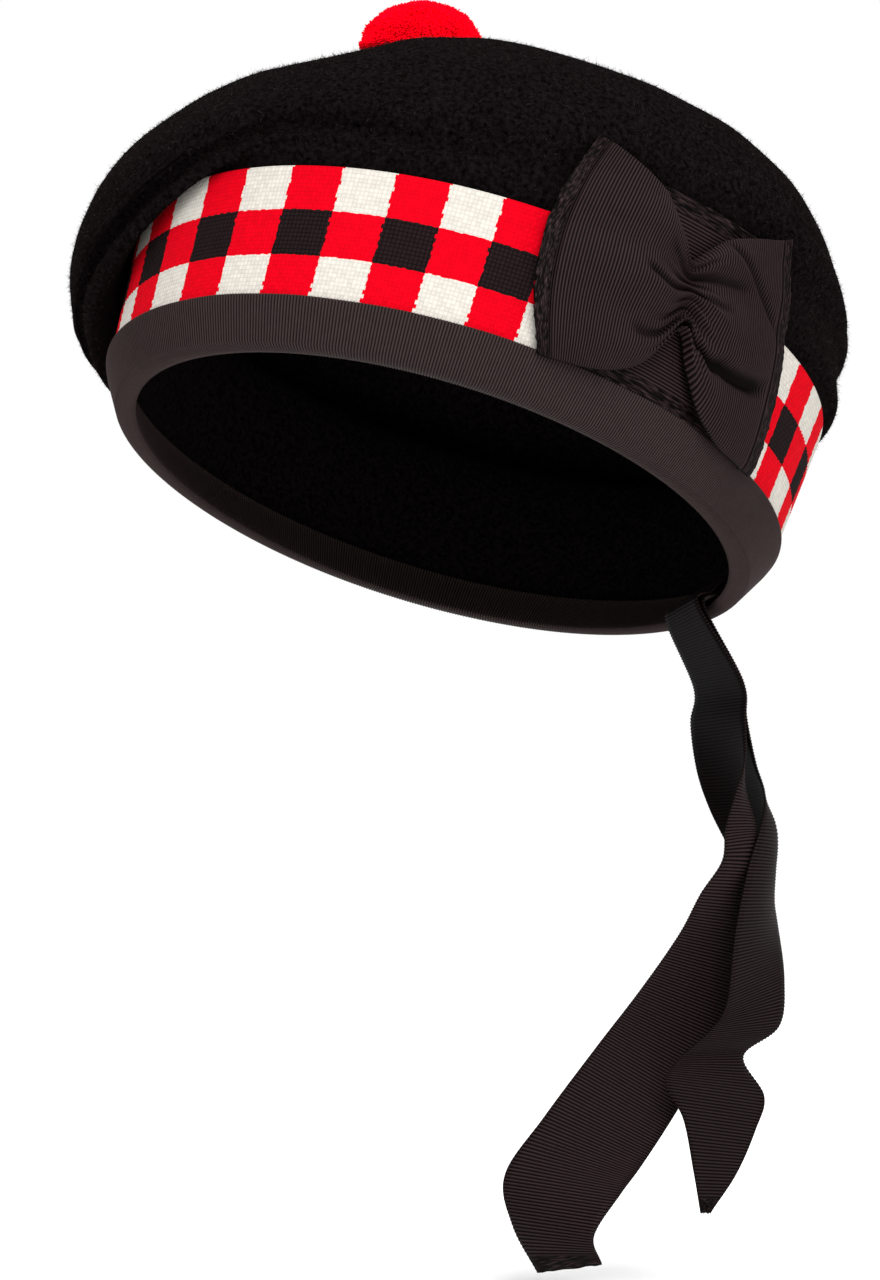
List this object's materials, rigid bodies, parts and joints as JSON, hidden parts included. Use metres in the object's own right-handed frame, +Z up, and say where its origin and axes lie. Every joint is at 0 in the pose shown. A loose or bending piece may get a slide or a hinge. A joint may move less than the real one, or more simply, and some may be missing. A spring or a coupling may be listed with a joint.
{
  "type": "balmoral bonnet",
  "caption": "Soft round felt bonnet with a diced headband, ribbon-bound rim, wool toorie on top, ribbon cockade at the side and ribbon tails hanging behind, as worn.",
  "frame": {"origin": "the middle of the head opening, level with the lower edge of the rim", "axes": "+Z up as the bonnet is worn, -Y the wearer's front, +X the wearer's left"},
  "size_m": [0.2278, 0.2501, 0.3811],
  "materials": {
    "felt": "milled wool felt, black",
    "diced_weave": "woven wool in red, white and black squares",
    "ribbon": "black ribbed ribbon",
    "wool": "cut red wool"
  },
  "bodies": {
    "root": {"crown": "felt", "diced_band": "diced_weave", "binding": "ribbon", "cockade_backing": "ribbon", "cockade_bow": "ribbon", "toorie": "wool", "tail_long": "ribbon", "tail_short": "ribbon"}
  },
  "joints": []
}
